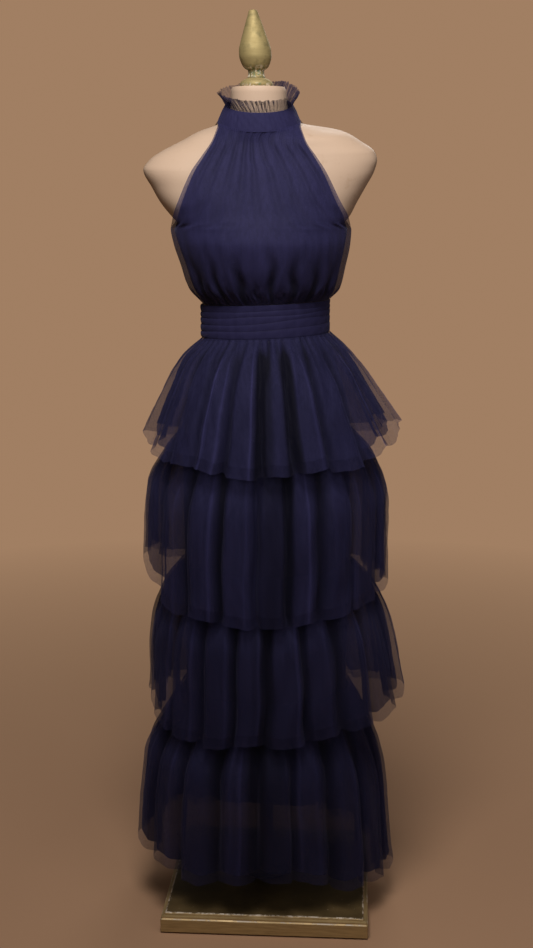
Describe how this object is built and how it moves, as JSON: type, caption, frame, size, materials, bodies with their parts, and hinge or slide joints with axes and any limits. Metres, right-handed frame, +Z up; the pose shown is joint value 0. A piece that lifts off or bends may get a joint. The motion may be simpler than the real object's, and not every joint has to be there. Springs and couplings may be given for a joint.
{
  "type": "tiered tulle halter dress on dress form",
  "caption": "Ankle-length tulle halter dress with a pleated waistband and tiered, gathered skirt, standing on a limbless dress form with a turned finial and a square base.",
  "frame": {"origin": "middle of the base's underside, on the floor", "axes": "+Z up, the front of the dress faces -Y, +X is the wearer's left"},
  "size_m": [0.491, 0.4294, 1.5936],
  "materials": {
    "navy_tulle": "fine matt tulle net with a faint sheen along the folds",
    "navy_lining": "smooth matt woven lining",
    "form_skin": "matt cream paint over a smooth shell",
    "aged_gold": "aged gilt with a greenish, chipped foot",
    "stand_bronze": "dark bronze and gold paint, worn and chipped at the edges",
    "pole_metal": "dark painted tube"
  },
  "bodies": {
    "root": {"neck_ruffle": "navy_tulle", "neck_band": "navy_tulle", "bodice_front": "navy_tulle", "bodice_back_left": "navy_tulle", "bodice_back_right": "navy_tulle", "waistband": "navy_tulle", "tier_1": "navy_tulle", "tier_2": "navy_tulle", "tier_3": "navy_tulle", "tier_4": "navy_tulle", "tier_1_underlayer": "navy_tulle", "tier_2_underlayer": "navy_tulle", "tier_3_underlayer": "navy_tulle", "tier_4_underlayer": "navy_tulle", "bodice_lining_front": "navy_lining", "bodice_lining_back": "navy_lining", "skirt_lining": "navy_lining", "form_torso": "form_skin", "neck_cap": "aged_gold", "finial": "aged_gold", "stand_base": "stand_bronze", "stand_pole": "pole_metal"}
  },
  "joints": []
}
